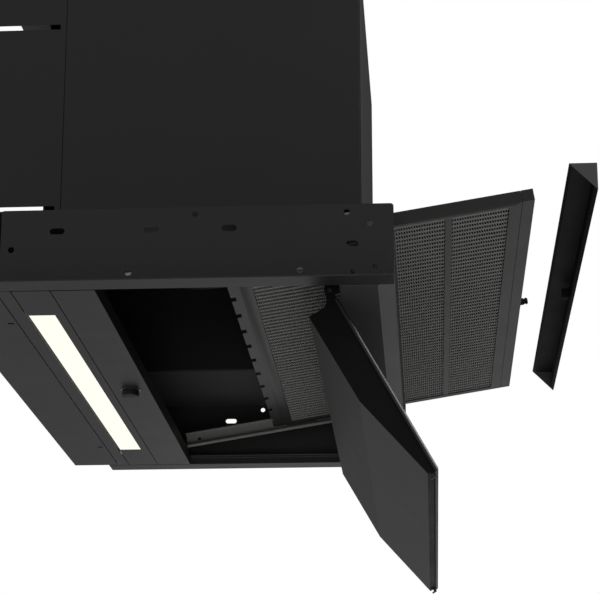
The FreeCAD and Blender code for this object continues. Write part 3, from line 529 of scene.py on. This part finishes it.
# ---- Intake flap --------------------------------------------------------------------------------
# Two steel skins make the hollow flap. The outer one is flat with a turned-up rim, and the inner one
# is folded like a shallow roof. Plastic end cheeks close it and carry the hinge bores, and two small
# catches snap into the body when it is shut.
outer_bm = merged_copy("flap_outer_skin")
outer_face = max((f for f in outer_bm.faces if f.normal.y < 0), key=lambda f: f.calc_area())
fold_r = 1.8
bmesh.ops.bevel(outer_bm, geom=outer_face.edges[:], offset=fold_r * MM, affect="EDGES", segments=6,
                profile=0.5, material=-1)
outer_skin = settle(outer_bm, "flap_outer_skin_fold", black_powder_coat, "flap",
                    slot_of["flap_outer_skin"], "flap_outer_skin")
# painted highlight: a brighter metallic finish stands in for the light caught on the rim's long folds
fold_painted_highlight = speckled_finish("fold_painted_highlight_metal", "#515152", "#59595a", (0.34, 0.42),
                                1.2, 0.004, Metallic=1.0)
outer_skin.data.materials.append(fold_painted_highlight)
fold_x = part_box("flap_outer_skin")[1].x - (fold_r + 0.1) * MM
for face in outer_skin.data.polygons:        # the two long folds get the brighter metallic finish, a painted highlight along the rim
    if abs(face.center.x) > fold_x and 0.15 < face.normal.x * (1 if face.center.x > 0 else -1) < 0.99:
        face.material_index = 1
inner_skin = rounded("flap_inner_skin", "flap_inner_skin_fold", black_powder_coat, 0.4, 3)
# painted shade: a near-black, nearly shineless finish stands in for the shade on the flap's cheeks and tip
# wall; the hinge brackets take it too
painted_shade_black = speckled_finish("painted_shade_matt_black", "#080808", "#0b0b0b", (0.5, 0.6), 1.0, 0.02,
                             Specular_IOR_Level=0.12)
rounded("flap_cheeks", "flap_cheek_plates", painted_shade_black, 0.2)
inner_skin.data.materials.append(painted_shade_black)
for face in inner_skin.data.polygons:        # the tip wall, tucked inside the rim, gets the painted shade
    if face.normal.z < -0.8 and face.center.z < -0.1:
        face.material_index = 1
rounded("flap_catches", "flap_catch_hooks", black_abs, 0.25)
rounded("hinge_brackets", "hinge_bracket_folds", painted_shade_black, 0.25)
black_oxide = speckled_finish("black_oxide_steel", "#121213", "#161617", (0.4, 0.5), 0.8, 0.004)
rounded("hinge_pins", "hinge_pin_rods", black_oxide, 0.3)


# ---- Front trim ---------------------------------------------------------------------------------
# The detachable trim is an extruded black aluminium angle with a small returned lip along each leg.
# Plastic caps close its ends, and a plastic clip inside takes the cassette's peg.
extrusion = rounded("fascia_profile", "fascia_extrusion", black_powder_coat, 0.3, 3)
# painted shade: a darker, less shiny finish on the faces inside the angle and on the clip there, where shade
# falls
inside_painted_shade = speckled_finish("extrusion_inside_painted_shade", "#0c0c0c", "#0f0f0f", (0.6, 0.7), 1.0, 0.01,
                              Specular_IOR_Level=0.15)
extrusion.data.materials.append(inside_painted_shade)
# the faces turned into the angle take the painted shade
inward = Vector((0, 0.7, -0.7))
for face in extrusion.data.polygons:
    if face.normal.dot(inward) > 0.6 and abs(face.normal.x) < 0.1:
        face.material_index = 1

cap_plastic = speckled_finish("moulded_dark_grey_cap", "#3a3a3a", "#3e3e3e", (0.45, 0.55), 0.9, 0.02)
rounded("fascia_end_caps", "fascia_cap_mouldings", cap_plastic, 0.35)
rounded("fascia_clip", "fascia_clip_moulding", inside_painted_shade, 0.4)


# ---- Screws -------------------------------------------------------------------------------------
# Zinc-plated pan-head screws hold the housing's lid, the rear spacer and the motor's bracket. Each has
# a domed head with a cross recess.
def screw_head(centre, out, head_r, head_h, name, replaced):
    """Domed screw head with a cross recess, standing along out from centre."""
    wall = 0.35                  # share of the head's height below its dome
    dome = [(0, 0), (head_r, 0), (head_r, head_h * wall)]
    dome += [(head_r * cos(pi / 2 * i / 5), head_h * (wall + (1 - wall) * sin(pi / 2 * i / 5)))
             for i in range(1, 5)]
    bm = turned(dome + [(0, head_h)], centre, out, 32, closed=False)
    slot_bm = bmesh.new()
    for turn in (0, pi / 2):
        arm = bmesh.ops.create_cube(slot_bm, size=MM)["verts"]
        bmesh.ops.scale(slot_bm, vec=(head_r * 1.15, head_r * 0.24, 0.16), verts=arm)
        bmesh.ops.rotate(slot_bm, matrix=Matrix.Rotation(turn, 3, "Z"), verts=arm)
    upright = Vector((0, 0, 1)).rotation_difference(Vector(out)).to_matrix().to_4x4()
    bmesh.ops.transform(slot_bm, verts=slot_bm.verts,
                        matrix=Matrix.Translation(Vector(centre) + Vector(out) * head_h * MM) @ upright)
    smooth(settle(bm, name, zinc_sheet, "housing", "zinc_steel", replaced))
    settle(slot_bm, name + "_recess", black_abs, "housing", "knob_black")


def solids(node_name):
    """Boxes of the separate solids of a CAD node, as (low, high) corners, in order of place."""
    bm = merged_copy(node_name)
    left = set(bm.verts)
    boxes = []
    while left:
        patch = [left.pop()]
        for v in patch:
            for e in v.link_edges:
                other = e.other_vert(v)
                if other in left:
                    left.remove(other)
                    patch.append(other)
        boxes.append([Vector([pick(v.co[i] for v in patch) for i in range(3)]) for pick in (min, max)])
    bm.free()
    return sorted(boxes, key=lambda box: [round(c, 4) for c in box[0]])


above_body = 0.1                 # the lid's screws are higher than this, the spacer's lower
spacer_head_h = 1.2
casing_heads = solids("casing_screws")
numbering = (5, 4, 1, 2, 0, 3)   # the head that each screw number belongs to
for i, head in enumerate(numbering):
    lo, hi = casing_heads[head]
    centre = (lo + hi) / 2
    width = (hi.x - lo.x) / 2 / MM
    if lo.z > above_body:
        screw_head(Vector((centre.x, centre.y, lo.z)), (0, 0, 1), width, (hi.z - lo.z) / MM,
                   "lid_screw_%d" % i, "casing_screws")
    else:
        screw_head(Vector((centre.x, centre.y, lo.z + spacer_head_h * MM)), (0, 0, -1), width, spacer_head_h,
                   "spacer_screw_%d" % i, "casing_screws")
for i, (lo, hi) in enumerate(solids("motor_bracket_screws")):
    centre = (lo + hi) / 2
    screw_head(Vector((hi.x, centre.y, centre.z)), (-1, 0, 0), (hi.z - lo.z) / 2 / MM, (hi.x - lo.x) / MM,
               "bracket_screw_%d" % i, "motor_bracket_screws")


# ---- Studio -------------------------------------------------------------------------------------
# Pale floor well below the hung hood, soft lamps, and a surround that is white to the camera and
# dimmer as light. The floor is left out of reflections.
floor_material = speckled_finish("pale_studio_floor", "#e9e9e7", "#efefed", (0.8, 0.9), 30.0, 0.02, 900.0)
floor_glow = floor_material.node_tree.nodes["Principled BSDF"]
floor_glow.inputs["Emission Color"].default_value = hex_colour("#f2f2f0")
floor_glow.inputs["Emission Strength"].default_value = 0.36      # evens out the lamps' fall-off
floor_drop = 2.4
floor_bm = bmesh.new()
bmesh.ops.create_grid(floor_bm, x_segments=1, y_segments=1, size=30.0,
                      matrix=Matrix.Translation((0, 0, -floor_drop)))
floor_mesh = bpy.data.meshes.new("studio_floor")
floor_bm.to_mesh(floor_mesh)
floor_bm.free()
floor_mesh.materials.append(floor_material)
floor = in_scene("studio_floor", floor_mesh)
floor.visible_glossy = False

world = bpy.data.worlds.new("soft_white_studio")
bpy.context.scene.world = world
world.use_nodes = True
sky = world.node_tree
sky.nodes.clear()
direction = node(sky, "ShaderNodeSeparateXYZ",
                 {"Vector": node(sky, "ShaderNodeTexCoord").outputs["Generated"]})
near_side = node(sky, "ShaderNodeMapRange",
                 {"Value": direction.outputs["X"], "From Min": -0.3, "From Max": 0.7,
                  "To Min": 0.26, "To Max": 0.034})
below = node(sky, "ShaderNodeMapRange",
             {"Value": direction.outputs["Z"], "From Min": 0.05, "From Max": -0.2,
              "To Min": 0.0, "To Max": 0.16})
dimmed = node(sky, "ShaderNodeMath", {0: near_side.outputs[0], 1: below.outputs[0]}, operation="ADD")
wall_side = node(sky, "ShaderNodeMapRange",
                 {"Value": direction.outputs["Y"], "From Min": 0.0, "From Max": 0.25,
                  "To Min": 0.0, "To Max": 0.115})
dimmed = node(sky, "ShaderNodeMath", {0: dimmed.outputs[0], 1: wall_side.outputs[0]}, operation="ADD")
seen = node(sky, "ShaderNodeBackground", {"Color": hex_colour("#ffffff"), "Strength": 1.0})
lit = node(sky, "ShaderNodeBackground", {"Color": hex_colour("#ffffff"), "Strength": dimmed.outputs[0]})
path = node(sky, "ShaderNodeLightPath")
shown = node(sky, "ShaderNodeMixShader",
             {0: path.outputs["Is Camera Ray"], 1: lit.outputs[0], 2: seen.outputs[0]})
node(sky, "ShaderNodeOutputWorld", {"Surface": shown.outputs[0]})


def lamp(name, place, aim, width, height, power):
    """Soft rectangular lamp turned to a point."""
    light = bpy.data.lights.new(name, "AREA")
    light.shape = "RECTANGLE"
    light.size = width
    light.size_y = height
    light.energy = power
    holder = in_scene(name, light)
    holder.location = place
    holder.rotation_mode = "QUATERNION"
    holder.rotation_quaternion = (Vector(aim) - Vector(place)).to_track_quat("-Z", "Y")
    holder.visible_camera = False


lamp("key_softbox", (-2.2, -2.6, 2.6), (0, -0.2, 0.1), 1.6, 1.6, 36)
lamp("fill_softbox", (1.8, -2.6, 0.6), (0, -0.2, 0.0), 1.6, 1.6, 6)
lamp("low_softbox", (3.2, -0.65, -0.67), (0, -0.35, 0.0), 1.9, 0.62, 1.85)
lamp("front_softbox", (0.1, -2.1, 2.1), (0, -0.3, 0.0), 1.6, 1.6, 50)
lamp("under_softbox", (-1.3, -0.4, -1.2), (0, -0.3, 0.05), 0.8, 0.8, 6)

lens_pitch = radians(16.502)
lens_yaw = radians(3.614)
camera = bpy.data.cameras.new("catalogue_camera")
camera.sensor_width = 36.0
camera.lens = 124.73
camera.clip_start = 0.05
camera.clip_end = 100.0
camera_rig = in_scene("catalogue_camera", camera)
camera_rig.location = (-1.5747, -0.32296, -0.39248)
ahead = Vector((cos(lens_pitch) * cos(lens_yaw), cos(lens_pitch) * sin(lens_yaw), sin(lens_pitch)))
camera_rig.rotation_mode = "QUATERNION"
camera_rig.rotation_quaternion = ahead.to_track_quat("-Z", "Y")
bpy.context.scene.camera = camera_rig
bpy.context.scene.view_settings.view_transform = "Standard"
